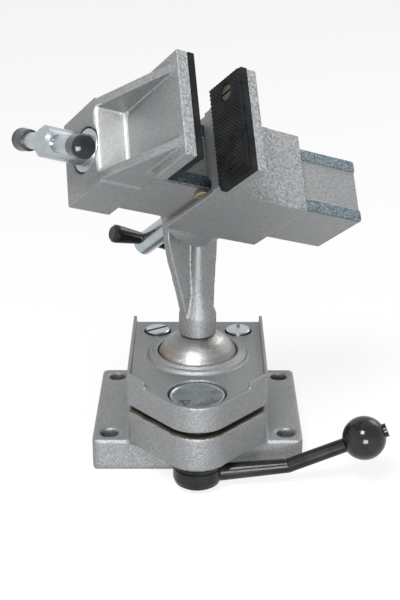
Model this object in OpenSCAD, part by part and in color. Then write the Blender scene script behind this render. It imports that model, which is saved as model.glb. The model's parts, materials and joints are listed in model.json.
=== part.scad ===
// Rotary bench vise on a clamped ball joint, in millimetres.
// The origin lies under the middle of the base plate. +Z is up, +X runs right and +Y runs to the back.

/* [Base plate] */
// Width of the base plate
plate_w = 107; // [98:1:130]
// Depth of the base plate, front to back
plate_d = 84; // [80:1:110]
// Thickness of the base plate
plate_t = 17; // [14:0.5:18]
// Corner radius of the base plate
plate_corner_r = 3; // [1:0.5:6]
// Distance from the plate's side edges to the bolt holes
hole_edge_x = 8.5; // [7:0.5:11]
// Distance from the plate's front and back edges to the bolt holes
hole_edge_y = 8.7; // [7:0.1:12]
// Radius of the bolt holes
hole_r = 4.5; // [3:0.25:5]

/* [Ball clamp] */
// Width of the clamp housing
clamp_w = 70; // [66:1:74]
// Distance from the middle of the plate to the back of the clamp
clamp_back = 32; // [29:0.5:38]
// Radius of the rounded nose, and of its bosses
nose_r = 17; // [16:0.5:19]
// Distance from the ball to the clamp bolt
bolt_reach = 45; // [44:0.5:50]
// Height of the underside of the nose
nose_z = 16; // [15:0.5:17]
// Height of the split between the two halves
split_z = 34; // [32:0.5:36]
// Width of the split between the two halves
split_gap = 3.2; // [2:0.2:5]
// Height of the flat top of the clamp
clamp_top = 50.5; // [49:0.5:54]
// Height of the side rims above the flat top
rim_h = 3.8; // [1:0.2:5]
// Thickness of the side rims
rim_t = 1.7; // [1.2:0.1:3]
// Share of each slanted shoulder that its rim runs along
rim_run = 0.4; // [0.2:0.05:0.7]
// Outer radius of the raised collar round the ball
collar_r = 26; // [25:0.5:28]
// Height of the collar above the flat top
collar_h = 3.6; // [2.5:0.1:5]
// Radius of the collar's mouth
mouth_r = 20.6; // [20.3:0.1:21.5]
// Clearance between the ball and its seats
ball_clear = 0.3; // [0.2:0.05:0.4]
// Radius of the two cap screws' heads
cap_head_r = 6.5; // [5.5:0.25:7]
// Radius of the two cap screws' shanks
cap_shank_r = 4; // [3:0.25:4.25]
// Height of the cap screws' heads
cap_head_h = 5; // [3:0.25:6]
// Half the distance between the two cap screws
cap_screw_x = 21.7; // [20:0.1:24]
// Distance from the ball back to the cap screws
cap_screw_reach = 31; // [30.5:0.5:34]

/* [Clamp bolt and lever] */
// Radius of the clamp bolt's disc head
bolt_head_r = 13.6; // [10:0.2:14]
// Height of the clamp bolt's disc head
bolt_head_h = 3.5; // [2.5:0.25:4.5]
// Depth of the counterbore that takes the disc head
bolt_sink = 5; // [4:0.25:7]
// Radius of the clamp bolt's shank
bolt_r = 5; // [4:0.25:6]
// Radius of the lever's hub
hub_r = 12.2; // [10:0.2:13]
// Height of the lever's hub
hub_h = 13.2; // [10:0.2:13.4]
// Thickness of the thrust washer over the hub
thrust_t = 1.5; // [1:0.1:2]
// Distance from the hub's axis to the bend in the arm
arm_bend_x = 45; // [40:1:56]
// Height of the arm's middle at the hub
arm_z = 6.4; // [5.5:0.1:8]
// Height of the arm's middle at the bend
bend_z = 10.4; // [8:0.1:11]
// Height of the ball knob's centre
knob_z = 26; // [20:0.5:32]
// Distance from the hub's axis to the knob's centre
knob_x = 82.2; // [76:0.2:96]
// Radius of the ball knob
knob_r = 10.9; // [8:0.1:13]
// Radius of the arm at the hub
arm_root_r = 4.5; // [3.5:0.1:4.8]
// Radius of the arm at the knob
arm_tip_r = 3.6; // [2.5:0.1:4]

/* [Ball and post] */
// Radius of the ball
ball_r = 23; // [22.9:0.05:23.1]
// Height of the ball's centre
ball_z = 41.8; // [41.5:0.1:42.2]
// Distance of the ball's centre in front of the plate's middle
ball_front = 11; // [10:0.5:13]
// Radius of the post's neck
neck_r = 9.6; // [8:0.1:10]
// Clearance between the post's foot and the ball
foot_clear = 0.3; // [0.2:0.05:0.4]
// Distance from the ball's centre to the head's turning axis
post_reach = 89.7; // [86:0.5:100]
// Half the width of the post's two wings where they meet the pad
wing_reach = 17; // [14:0.5:19]
// Thickness of the post's two wings
wing_t = 4.5; // [3.5:0.25:7]
// Backward lean of the wings, in degrees
wing_lean = 6.8; // [0:0.2:10]
// Forward lean of the front rib, in degrees
rib_lean = 2.2; // [0:0.2:5]
// Radius of the front rib's nose where it leaves the neck
rib_root_r = 6.5; // [5:0.25:8]
// Radius of the front rib's nose under the pad
rib_tip_r = 2.3; // [1.5:0.1:4]
// Tilt of the pad's axis away from upright, in degrees
pad_tilt = 53; // [45:1:60]
// Turn of the pad's axis about the post, in degrees
pad_turn = -46; // [-60:1:-30]
// Radius of the round pad that carries the head
pad_r = 19.5; // [17:0.5:20]
// Thickness of the round pad
pad_t = 14; // [10:0.5:15]
// Distance from the pad's face back to the post's axis
pad_set = 7; // [6:0.5:8]

/* [Head pivot] */
// Turn of the head on its pad, in degrees
head_turn = 66; // [60:1:72]
// Radius of the spigot on the body that centres it on the pad
spigot_r = 9; // [7:0.5:10]
// Length of the spigot
spigot_h = 4; // [3:0.5:5]
// Running clearance of the pivot's round fits
pivot_clear = 0.08; // [0.03:0.01:0.1]
// Radius of the pivot stud
stud_r = 4; // [3.5:0.25:4.5]
// Radius of the clamp nut
nut_r = 5.75; // [5.5:0.25:7]
// Distance from the pad's face to the clamp nut's outer end
nut_end = 60; // [58:1:66]
// Distance from the pad's face to the clamp nut's cross bar
nut_bar_at = 52.5; // [50:0.5:54]
// Distance from the pad's face to the washer under the nut
pad_back = 20; // [19:0.5:22]
// Thickness of the washer under the nut
nut_washer_t = 1.8; // [1:0.1:2.5]
// Radius of the clamp nut's cross bar
nut_bar_r = 2.5; // [2:0.1:2.8]
// Half the length of the clamp nut's cross bar, over its grips
nut_bar_reach = 22.5; // [19:0.5:25]

/* [Jaws] */
// Width of the jaw plates
jaw_w = 50; // [46:1:56]
// Height of the jaw plates
jaw_h = 23.5; // [20:0.5:26]
// Thickness of the jaw plates
jaw_plate_t = 4.2; // [3.5:0.1:5]
// Opening between the jaw plates
jaw_gap = 22.6; // [8:0.2:26]
// Pitch of the teeth on the jaw plates
tooth_pitch = 2; // [1.6:0.1:3]
// Depth of the teeth on the jaw plates
tooth_d = 0.7; // [0.4:0.1:0.9]
// Thickness of the fixed jaw behind its plate
rear_jaw_t = 4.8; // [4:0.2:7]
// Thickness of the moving jaw behind its plate
front_jaw_t = 5.9; // [4.5:0.1:8]
// Distance from the middle out to each jaw screw
jaw_screw_at = 18.2; // [15:0.2:20]
// Radius of the jaw screws' heads
jaw_screw_head_r = 3.6; // [3:0.1:4]
// Radius of the jaw screws' shanks
jaw_screw_r = 2; // [1.5:0.1:2.4]

/* [Head body] */
// Length of the fixed body
body_l = 53; // [48:1:60]
// Width of the fixed body
body_w = 40; // [39:0.5:44]
// Set-back of the body's front from the back of the fixed jaw plate
body_set = 1.3; // [0.5:0.1:3]
// Depth from the top of the jaws to the top of the body
throat_d = 33.3; // [30:0.1:36]
// Thickness of the body's roof over the slide
roof_t = 4.9; // [4:0.1:6]
// Thickness of the body's floor under the slide
floor_t = 3.8; // [3.4:0.1:5]
// Sliding clearance round the slide bar
slide_clear = 0.2; // [0.1:0.05:0.3]
// Thickness of the two curved gussets and of the moving jaw's ribs
rib_t = 4.2; // [3:0.1:5]
// Length of the fixed jaw's curved gussets
gusset_l = 39; // [30:1:42]

/* [Moving jaw] */
// Width of the slide bar
slide_w = 32.4; // [31:0.2:33]
// Height of the slide bar
slide_h = 34.2; // [33:0.2:36]
// Distance from the fixed jaw plate's face to the slide bar's back end
slide_end = 96.8; // [94:0.2:110]
// Width of the two machined rails on the slide bar
rail_w = 5.6; // [4:0.2:7]
// Height of the machined rails
rail_h = 0.7; // [0.4:0.1:1.2]
// Length of the moving jaw's front block, from its end face to the jaw plate
block_l = 21.4; // [20:0.2:28]
// Width of the front block
block_w = 41.4; // [41:0.2:46]
// Depth from the top of the jaws to the top of the front block
block_top_d = 43.9; // [42:0.1:46]
// Depth from the top of the jaws to the bottom of the front block
block_bottom_d = 72.7; // [72.6:0.1:75]
// Width of the moving jaw between its ribs' outer faces
web_w = 39.8; // [38:0.2:40.6]
// Half the width of the hollow in the slide bar
hollow_half = 10; // [9:0.5:11]
// Height of the hollow in the slide bar
hollow_h = 21; // [20:0.5:23]
// Half the width of the slot in the slide bar's floor
slot_half = 4.2; // [3.5:0.1:5]

/* [Spindle] */
// Depth from the top of the jaws to the spindle's axis
spindle_d = 55.5; // [54.5:0.1:56.5]
// Radius of the spindle's head
spindle_head_r = 7.1; // [6.5:0.1:8.5]
// Length of the spindle's head outside the front block
spindle_head_l = 22; // [18:0.5:30]
// Radius of the spindle's collar
spindle_collar_r = 10.3; // [9:0.1:11]
// Thickness of the spindle's collar
spindle_collar_t = 3.6; // [2.5:0.1:5]
// Radius of the spindle's screw
screw_r = 5; // [4:0.25:5.5]
// Distance from the fixed jaw plate's face to the screw's end
screw_end = 88; // [80:1:92]
// Radius of the spindle's cross bar
bar_r = 3.8; // [3:0.1:4.5]
// Half the length of the spindle's cross bar, over its grips
bar_reach = 34; // [30:0.5:38]
// Length of each grip on the cross bar
grip_l = 11; // [8:0.5:14]
// Radius of each grip on the cross bar
grip_r = 5.4; // [5:0.1:6.5]
// Turn of the cross bar about the spindle, in degrees
bar_turn = -29; // [-90:1:90]
// Distance from the cross bar to the spindle's outer end
bar_inset = 6; // [5.5:0.25:8]
// Length of the nut on the screw
spindle_nut_l = 18; // [14:0.5:22]
// Running clearance of the spindle's round fits
spindle_clear = 0.08; // [0.03:0.01:0.1]

/* [Hidden] */
$fn = 64;
skin = 0.01;

cast_colour = [0.68, 0.68, 0.69];
zinc_colour = [0.82, 0.85, 0.88];
steel_colour = [0.88, 0.87, 0.84];
black_colour = [0.07, 0.07, 0.08];
brass_colour = [0.72, 0.6, 0.32];

// Places in the base's frame
hole_span_x = plate_w - 2 * hole_edge_x;
hole_span_y = plate_d - 2 * hole_edge_y;
ball_y = -ball_front;
bolt_y = ball_y - bolt_reach;
cap_screw_y = ball_y + cap_screw_reach;
cap_z = split_z + split_gap;
counterbore_z = clamp_top - bolt_sink;
hub_top = nose_z - thrust_t;
hub_z = hub_top - hub_h;
bolt_bore_r = bolt_r + 0.4;
counterbore_r = bolt_head_r + 0.9;
cap_seat_z = clamp_top - cap_head_h + 1.2;
cap_seat_r = cap_head_r + 0.7;
cap_screw_z = plate_t;
neck_top = 32;

// Levels and stations in the head's frame: X along the slide, Y across the jaws, Z up out of the jaws,
// with its origin at the middle of the top edge of the fixed jaw plate's face
body_front = jaw_plate_t + body_set;
body_back = body_front + body_l;
body_top = -throat_d;
slide_top = body_top - roof_t - slide_clear;
slide_bottom = slide_top - slide_h;
body_bottom = slide_bottom - slide_clear - floor_t;
pivot_x = (body_front + body_back) / 2 - 0.8;
front_plate_x = -jaw_gap - jaw_plate_t;
web_front = front_plate_x - front_jaw_t;
block_front = front_plate_x - block_l;
block_top = -block_top_d;
block_bottom = -block_bottom_d;
spindle_z = -spindle_d;
collar_front = block_front + 3.4;
collar_back = collar_front + spindle_collar_t;
spindle_out = block_front - spindle_head_l;
bar_x = spindle_out + bar_inset;
wall_back = front_plate_x + 3;
nut_back = body_back - 1;
nut_front = nut_back - spindle_nut_l;
nut_screw_x = nut_back - 5.5;
hollow_bottom = spindle_z - hollow_h / 2;
screw_plate_z = -jaw_h / 2;

// Point at which a line from the corner of the clamp touches the nose's arc, for the right-hand side
function nose_touch(r, corner) =
    let (away = corner - [0, bolt_y], d = norm(away), turn = atan2(away[1], away[0]) - acos(r / d))
    [r * cos(turn), bolt_y + r * sin(turn)];

// Places the children on the head's turning axis, with Z out of the pad's face
module on_pad() {
    translate([0, ball_y, ball_z + post_reach])
        rotate([0, pad_tilt, pad_turn])
        translate([0, 0, pad_set])
        children();
}

// Places the children in the head's own frame
module in_head() {
    on_pad()
        rotate([0, 0, head_turn])
        translate([-pivot_x, 0, -body_bottom])
        children();
}

// Cylinder along X from one station to another
module rod_x(x0, x1, r) {
    translate([x0, 0, 0])
        rotate([0, 90, 0])
        cylinder(h = x1 - x0, r = r);
}

// Rectangle with rounded corners, drawn about its middle
module rounded_plan(w, d, r) {
    square([w - 2 * r, d], center = true);
    square([w, d - 2 * r], center = true);
    for (x = [-1, 1], y = [-1, 1])
        translate([x * (w / 2 - r), y * (d / 2 - r)])
            circle(r = r);
}

// Plan of the clamp: straight sides, slanted shoulders and a round nose about the bolt
module clamp_plan(inset) {
    half = clamp_w / 2 - inset;
    front = -plate_d / 2;
    r = nose_r - inset;
    touch = nose_touch(r, [half, front]);
    polygon([[-half, clamp_back - inset], [half, clamp_back - inset], [half, front], touch,
             [-touch[0], touch[1]], [-half, front]]);
    translate([0, bolt_y])
        circle(r = r);
}

// Slotted round head standing on Z = 0, with its slot turned to an angle
module slotted_head(r, h, slot_w, slot_d, turn) {
    difference() {
        union() {
            cylinder(h = h - 0.5, r = r);
            translate([0, 0, h - 0.5])
                cylinder(h = 0.5, r1 = r, r2 = r - 0.5);
        }
        rotate([0, 0, turn])
            translate([-r - 1, -slot_w / 2, h - slot_d])
            cube([2 * r + 2, slot_w, slot_d + 1]);
    }
}

module base_casting() {
    color(cast_colour)
    difference() {
        union() {
            linear_extrude(plate_t)
                rounded_plan(plate_w, plate_d, plate_corner_r);
            translate([0, 0, nose_z])
                linear_extrude(split_z - nose_z)
                clamp_plan(0.5);
            rear_ledge();
        }
        for (x = [-1, 1], y = [-1, 1])
            translate([x * hole_span_x / 2, y * hole_span_y / 2, -1])
                cylinder(h = plate_t + 2, r = hole_r);
        translate([0, ball_y, ball_z])
            sphere(r = ball_r + ball_clear);
        translate([0, bolt_y, nose_z - 1])
            cylinder(h = split_z, r = bolt_bore_r);
        for (x = [-1, 1])
            translate([x * cap_screw_x, cap_screw_y, cap_screw_z - 2])
                cylinder(h = split_z, r = cap_shank_r + skin);
        hub_relief();
    }
}

// Ledge behind the ball that carries the back of the cap
module rear_ledge() {
    ledge_front = cap_screw_y - cap_seat_r;
    translate([-clamp_w / 2 + 0.5, ledge_front, split_z - skin])
        cube([clamp_w - 1, clamp_back - 0.5 - ledge_front, split_gap + skin]);
}

// Round hollow in the plate's front edge that clears the lever's hub
module hub_relief() {
    translate([0, bolt_y, -1])
        cylinder(h = nose_z + 1, r = hub_r + 2.5);
}

module clamp_cap() {
    color(cast_colour)
    difference() {
        union() {
            translate([0, 0, cap_z])
                linear_extrude(clamp_top - cap_z)
                clamp_plan(0);
            side_rims();
            ball_collar();
        }
        translate([0, ball_y, ball_z])
            sphere(r = ball_r + ball_clear);
        translate([0, ball_y, 0])
            cylinder(h = ball_z, r = ball_r + ball_clear);
        translate([0, bolt_y, cap_z - 1])
            cylinder(h = clamp_top, r = bolt_bore_r);
        translate([0, bolt_y, counterbore_z])
            cylinder(h = bolt_sink + 1, r = counterbore_r);
        for (x = [-1, 1])
            translate([x * cap_screw_x, cap_screw_y, 0]) {
                cylinder(h = clamp_top + 1, r = cap_shank_r + 0.4);
                translate([0, 0, cap_seat_z])
                    cylinder(h = cap_head_h + 1, r = cap_seat_r);
            }
    }
}

// Raised rims along the sides and round the shoulders, up to where the nose begins
module side_rims() {
    half = clamp_w / 2;
    front = -plate_d / 2;
    shoulder = nose_touch(nose_r, [half, front]) - [half, front];
    end = [half, front] + rim_run * shoulder;
    inward = rim_t * [shoulder[1], -shoulder[0]] / norm(shoulder);
    for (side = [-1, 1])
        translate([0, 0, clamp_top - 1])
            linear_extrude(1 + rim_h)
            polygon([[side * half, clamp_back], [side * half, front], [side * end[0], end[1]],
                     [side * (end[0] + inward[0]), end[1] + inward[1]],
                     [side * (half - rim_t), front + 0.4 * rim_t],
                     [side * (half - rim_t), clamp_back]]);
}

// Raised collar round the ball's mouth, sloping out to the flat top
module ball_collar() {
    lip = mouth_r + 1.6;
    translate([0, ball_y, clamp_top - 1])
        rotate_extrude()
        polygon([[10, 0], [collar_r, 0], [collar_r, 1.4], [collar_r - 1, 1.9], [lip, collar_h + 1],
                 [mouth_r, collar_h + 0.8], [mouth_r - 0.4, 0.6], [10, 0.6]]);
}

module cap_screws() {
    for (side = [-1, 1])
        color(zinc_colour)
        translate([side * cap_screw_x, cap_screw_y, 0]) {
            translate([0, 0, cap_seat_z])
                slotted_head(cap_head_r, cap_head_h, 1.8, 2, side < 0 ? 32 : 88);
            translate([0, 0, cap_screw_z])
                cylinder(h = cap_seat_z - cap_screw_z + skin, r = cap_shank_r);
        }
}

module clamp_bolt() {
    color(zinc_colour)
    translate([0, bolt_y, 0])
    rotate_extrude()
        polygon([[0, hub_z + 1.5], [bolt_r, hub_z + 1.5], [bolt_r, counterbore_z],
                 [bolt_head_r, counterbore_z], [bolt_head_r, counterbore_z + bolt_head_h - 0.4],
                 [bolt_head_r - 0.4, counterbore_z + bolt_head_h], [bolt_head_r - 1.4, counterbore_z + bolt_head_h],
                 [bolt_head_r - 2.2, counterbore_z + bolt_head_h - 1.3], [0, counterbore_z + bolt_head_h - 1.3]]);
}

module thrust_washer() {
    color(zinc_colour)
    translate([0, bolt_y, hub_top])
    difference() {
        cylinder(h = thrust_t, r = hub_r - 1);
        translate([0, 0, -1])
            cylinder(h = thrust_t + 2, r = bolt_bore_r);
    }
}

module clamp_lever() {
    tip = knob_x - 0.8 * knob_r;
    tip_z = knob_z - 0.8 * knob_r * (knob_z - bend_z) / (knob_x - arm_bend_x);
    color(black_colour)
    translate([0, bolt_y, 0])
    difference() {
        union() {
            translate([0, 0, hub_z])
                rotate_extrude()
                polygon([[0, 0], [hub_r - 3, 0], [hub_r - 0.8, 1.6], [hub_r, 4], [hub_r, hub_h - 3.6],
                         [hub_r - 0.5, hub_h - 3.2], [hub_r, hub_h - 2.8], [hub_r, hub_h - 0.8],
                         [hub_r - 0.8, hub_h], [0, hub_h]]);
            hull() {
                translate([hub_r - 5, 0, arm_z])
                    sphere(r = arm_root_r, $fn = 32);
                translate([arm_bend_x, 0, bend_z])
                    sphere(r = arm_tip_r, $fn = 32);
            }
            hull() {
                translate([arm_bend_x, 0, bend_z])
                    sphere(r = arm_tip_r, $fn = 32);
                translate([tip, 0, tip_z])
                    sphere(r = arm_tip_r, $fn = 32);
            }
        }
        translate([0, 0, hub_z - 1])
            cylinder(h = hub_h + 2, r = bolt_r + pivot_clear);
    }
}

module lever_knob() {
    slope = atan2(knob_z - bend_z, knob_x - arm_bend_x);
    color(black_colour)
    translate([knob_x, bolt_y, knob_z])
    difference() {
        union() {
            sphere(r = knob_r);
            rotate([0, 90 - slope, 0])
                cylinder(h = knob_r + 1.2, r = 3.4);
        }
        rotate([0, -90 - slope, 0])
            cylinder(h = 2 * knob_r, r = arm_tip_r + 0.3);
    }
}

module joint_ball() {
    color(steel_colour)
    translate([0, ball_y, ball_z])
        sphere(r = ball_r);
}

// Neck, wings, rib and pad in one casting, hollowed at the foot to sit on the ball
module post() {
    foot = sqrt(pow(ball_r, 2) - pow(neck_r, 2)) - 1;
    color(cast_colour)
    difference() {
        union() {
            translate([0, ball_y, ball_z])
                rotate_extrude()
                polygon([[0, foot], [neck_r, foot], [neck_r, neck_top], [rib_root_r - 1, neck_top + 11],
                         [0, neck_top + 11]]);
            post_wings();
            post_rib();
            on_pad()
                rotate_extrude()
                polygon([[0, -pad_back], [neck_r, -pad_back], [pad_r - 4, -pad_t], [pad_r, -pad_t],
                         [pad_r, 0], [0, 0]]);
        }
        translate([0, ball_y, ball_z])
            rotate([0, 90, 30])
            sphere(r = ball_r + foot_clear);
        on_pad() {
            translate([0, 0, -pad_back - 10])
                cylinder(h = pad_back + 11, r = stud_r + 0.3);
            translate([0, 0, -spigot_h - 0.3])
                cylinder(h = spigot_h + 1, r = spigot_r + pivot_clear);
            cylinder(h = 30, r = pad_r + 10);
            translate([0, 0, -pad_back - 30])
                cylinder(h = 30, r = nut_r + 3.2);
        }
    }
}

// Two wings that spread from the neck up to the pad, leaning back with it
module post_wings() {
    translate([0, ball_y, ball_z + neck_top])
        rotate([0, 0, pad_turn])
        rotate([0, -wing_lean, 0])
        translate([-wing_t / 2, 0, 0])
        rotate([90, 0, 90])
        linear_extrude(wing_t)
        polygon([[-neck_r + 0.9, -5], [neck_r - 0.9, -5], [neck_r + 0.4, 2], [neck_r + 2.8, 16],
                 [wing_reach - 1.2, 33], [wing_reach, 42], [wing_reach - 1, 58], [1 - wing_reach, 58],
                 [-wing_reach, 42], [1.2 - wing_reach, 33], [-neck_r - 2.8, 16], [-neck_r - 0.4, 2]]);
}

// Rib with a rounded nose in front of the wings, narrowing up to the pad
module post_rib() {
    length = post_reach - neck_top - 11;
    translate([0, ball_y, ball_z + neck_top - 1])
        rotate([0, 0, pad_turn])
        translate([-0.8, 0, 0])
        rotate([0, rib_lean, 0]) {
            rotate([0, 0, 37])
                cylinder(h = length, r1 = rib_root_r, r2 = rib_tip_r);
            translate([-5, 0, 0])
                rotate([90, 0, 90])
                linear_extrude(4)
                polygon([[0.7 - rib_root_r, 0.5], [rib_root_r - 0.7, 0.5], [rib_tip_r - 0.4, length - 0.5],
                         [0.4 - rib_tip_r, length - 0.5]]);
        }
}

module pivot_stud() {
    color(zinc_colour)
    on_pad()
        translate([0, 0, 6 - nut_bar_at])
        cylinder(h = nut_bar_at - 6 + floor_t - 0.4, r = stud_r);
}

module pivot_washer() {
    color(zinc_colour)
    on_pad()
        translate([0, 0, -pad_back - nut_washer_t])
        difference() {
            cylinder(h = nut_washer_t, r = nut_r + 2.5);
            translate([0, 0, -1])
                cylinder(h = nut_washer_t + 2, r = stud_r + 0.3);
        }
}

module pivot_nut() {
    nut_start = pad_back + nut_washer_t;
    color(zinc_colour)
    on_pad()
    difference() {
        translate([0, 0, -nut_end])
            rotate_extrude()
            polygon([[0, 0], [nut_r - 1.4, 0], [nut_r, 1.4], [nut_r, nut_end - nut_start], [0, nut_end - nut_start]]);
        translate([0, 0, 5 - nut_bar_at])
            cylinder(h = nut_bar_at, r = stud_r + pivot_clear);
        nut_bar_place()
            cylinder(h = 4 * nut_r, r = nut_bar_r, center = true);
    }
}

// Places the children on the clamp nut's cross bar, with Z along the bar
module nut_bar_place() {
    translate([0, 0, -nut_bar_at])
        rotate([0, 0, head_turn])
        rotate([0, 90, 0])
        children();
}

module pivot_bar() {
    color(zinc_colour)
    on_pad()
        nut_bar_place()
        cylinder(h = 2 * nut_bar_reach - 8, r = nut_bar_r, center = true);
}

module pivot_grips() {
    grip_start = nut_r + 0.3;
    length = nut_bar_reach - grip_start;
    for (turn = [0, 180])
        color(black_colour)
        on_pad()
        nut_bar_place()
        rotate([turn, 0, 0])
        translate([0, 0, grip_start])
        difference() {
            rotate_extrude()
                polygon([[0, 0], [3.2, 0], [4.75, length - 2.6], [4.6, length - 1.2], [3.4, length], [0, length]]);
            translate([0, 0, -1])
                cylinder(h = length - 3, r = nut_bar_r);
        }
}

// Outline of a jaw across its width: full width at the plate, curving in to the narrower casting below
module jaw_outline(low, low_w) {
    half = jaw_w / 2;
    narrow = low_w / 2;
    step = half - narrow;
    polygon([[-half, 0], [half, 0], [half, -jaw_h], each [for (a = [0:15:90])
                 [half - step * sin(a), -jaw_h - 2 * step * (1 - cos(a))]],
             [narrow, low], [-narrow, low], each [for (a = [90:-15:0])
                 [-half + step * sin(a), -jaw_h - 2 * step * (1 - cos(a))]], [-half, -jaw_h]]);
}

// Side profile of a gusset that sweeps from a jaw's top down to the body behind it
module gusset_profile(l, h) {
    polygon([[-1, 0], each [for (t = [0:0.1:1]) [l * t * t, h * (1 - t) * (1 - t)]], [l, -1], [-1, -1]]);
}

module vise_body() {
    color(cast_colour)
    in_head()
    difference() {
        union() {
            translate([body_front, -body_w / 2, body_bottom])
                cube([body_l, body_w, body_top - body_bottom]);
            translate([jaw_plate_t, 0, 0])
                rotate([90, 0, 90])
                linear_extrude(rear_jaw_t)
                jaw_outline(body_top - 1, body_w);
            for (side = [0, 1])
                translate([jaw_plate_t + rear_jaw_t, (body_w / 2 - rib_t) * side - body_w / 2 * (1 - side), body_top])
                    translate([0, rib_t, 0])
                    rotate([90, 0, 0])
                    linear_extrude(rib_t)
                    gusset_profile(gusset_l, throat_d - 6);
            translate([pivot_x, 0, body_bottom - spigot_h])
                cylinder(h = spigot_h + 1, r = spigot_r);
        }
        translate([body_front - 10, -slide_w / 2 - slide_clear, slide_bottom - slide_clear])
            cube([body_l + 20, slide_w + 2 * slide_clear, slide_h + 2 * slide_clear]);
        translate([pivot_x, 0, body_bottom - spigot_h - 1])
            cylinder(h = spigot_h + floor_t + 2, r = stud_r + skin);
        gib_block();
        translate([nut_screw_x, 0, body_bottom - 1])
            cylinder(h = floor_t + 2, r = 2.2);
        translate([nut_screw_x, 0, body_bottom - skin])
            cylinder(h = 2, r1 = 4.2, r2 = 2.2);
        for (side = [-1, 1])
            translate([0, side * jaw_screw_at, screw_plate_z])
                rod_x(jaw_plate_t - 1, jaw_plate_t + rear_jaw_t - 1, jaw_screw_r + skin);
    }
}

// Jaw plate with ridged teeth on the face at X = 0, thickness along +X, and two counterbored screw holes
module jaw_plate() {
    count = floor(jaw_w / tooth_pitch) - 1;
    start = -count * tooth_pitch / 2;
    difference() {
        translate([0, 0, -jaw_h])
            linear_extrude(jaw_h)
            polygon([[jaw_plate_t, -jaw_w / 2], [jaw_plate_t, jaw_w / 2], [tooth_d, jaw_w / 2],
                     each [for (i = [count:-1:0]) each [[tooth_d, start + (i + 0.35) * tooth_pitch],
                                                       [0, start + i * tooth_pitch]]],
                     [tooth_d, start - 0.65 * tooth_pitch], [tooth_d, -jaw_w / 2]]);
        for (side = [-1, 1])
            translate([0, side * jaw_screw_at, screw_plate_z]) {
                rod_x(-1, jaw_plate_t + 1, jaw_screw_r + 0.2);
                rod_x(-1, jaw_plate_t - 1.6, jaw_screw_head_r + 0.3);
            }
        for (z = [0, -jaw_h])
            translate([0, 0, z])
                rotate([0, 45, 0])
                cube([1.4, jaw_w + 2, 1.4], center = true);
    }
}

// Two jaw screws whose heads lie in the plate's counterbores, pointing along +X
module jaw_screws(length) {
    for (side = [-1, 1])
        translate([jaw_plate_t - 1.6, side * jaw_screw_at, screw_plate_z])
            rotate([0, 90, 0])
            difference() {
                union() {
                    translate([0, 0, -1.8])
                        cylinder(h = 1.8, r = jaw_screw_head_r);
                    cylinder(h = length, r = jaw_screw_r);
                }
                translate([-5, -0.5, -2])
                    cube([10, 1, 1]);
            }
}

module rear_jaw_plate() {
    color(black_colour)
    in_head()
        jaw_plate();
}

module rear_plate_screws() {
    color(black_colour)
    in_head()
        jaw_screws(1.6 + rear_jaw_t - 1.2);
}

module front_jaw_plate() {
    color(black_colour)
    in_head()
        translate([-jaw_gap, 0, 0])
        mirror([1, 0, 0])
        jaw_plate();
}

module front_plate_screws() {
    color(black_colour)
    in_head()
        translate([-jaw_gap, 0, 0])
        mirror([1, 0, 0])
        jaw_screws(1.6 + front_jaw_t - 1.2);
}

module spindle_nut() {
    foot_half = slot_half - 0.3;
    color(brass_colour)
    in_head()
    difference() {
        union() {
            translate([nut_front, -hollow_half + 0.3, hollow_bottom + 0.3])
                cube([spindle_nut_l, 2 * hollow_half - 0.6, hollow_h - 0.6]);
            translate([nut_back - 11, -foot_half, slide_bottom - slide_clear])
                cube([11, 2 * foot_half, hollow_bottom - slide_bottom + slide_clear + 1]);
        }
        translate([0, 0, spindle_z])
            rod_x(nut_front - 1, nut_back + 1, screw_r + spindle_clear);
        translate([nut_screw_x, 0, body_bottom])
            cylinder(h = floor_t + 5, r = 2 + skin);
    }
}

module nut_screw() {
    color(zinc_colour)
    in_head()
        translate([nut_screw_x, 0, body_bottom])
        difference() {
            union() {
                cylinder(h = 2, r1 = 4.1, r2 = 2.1);
                cylinder(h = floor_t + 4, r = 2);
            }
            translate([-5, -0.5, -1])
                cube([10, 1, 2]);
        }
}

// Brass wear strip let into the body's roof beside the slide, its end showing at the front
module gib_block() {
    translate([body_front - 2.4, -slide_w / 2 - slide_clear, slide_top + slide_clear])
        cube([14, 4, 1.6]);
}

module brass_gib() {
    color(brass_colour)
    in_head()
        gib_block();
}

module moving_jaw() {
    color(cast_colour)
    in_head()
    difference() {
        union() {
            translate([block_front, -block_w / 2, block_bottom])
                cube([block_l, block_w, block_top - block_bottom]);
            translate([web_front, 0, 0])
                rotate([90, 0, 90])
                linear_extrude(front_jaw_t)
                jaw_outline(block_top - 1, web_w);
            for (side = [-1, 1])
                translate([0, side * (web_w / 2 - rib_t / 2) + rib_t / 2, 0])
                    rotate([90, 0, 0])
                    linear_extrude(rib_t)
                    polygon([[block_front, block_top - 1], [web_front + 1, block_top - 1],
                             [web_front + 1, -1], [web_front, -1], [block_front, block_top]]);
            slide_bar();
        }
        translate([0, 0, spindle_z]) {
            rod_x(block_front - 1, wall_back + 1, screw_r + spindle_clear);
            rod_x(block_front - 1, collar_back + spindle_clear, spindle_collar_r + 0.4);
        }
        translate([wall_back, -hollow_half, hollow_bottom])
            cube([slide_end - wall_back + 1, 2 * hollow_half, hollow_h]);
        translate([nut_back - 12 - jaw_gap, -slot_half, slide_bottom - 1])
            cube([slide_end, 2 * slot_half, hollow_bottom - slide_bottom + 2]);
        for (side = [-1, 1])
            translate([0, side * jaw_screw_at, screw_plate_z])
                rod_x(web_front + 1, front_plate_x + 1, jaw_screw_r + skin);
    }
}

// Rectangular bar with two machined rails along its top
module slide_bar() {
    length = slide_end - wall_back + 4;
    start = slide_end - length;
    translate([start, -slide_w / 2, slide_bottom])
        cube([length, slide_w, slide_h - rail_h]);
    for (side = [-1, 1])
        translate([start, side * (slide_w - rail_w) / 2 - rail_w / 2, slide_bottom + 1])
            cube([length, rail_w, slide_h - 1]);
}

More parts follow.
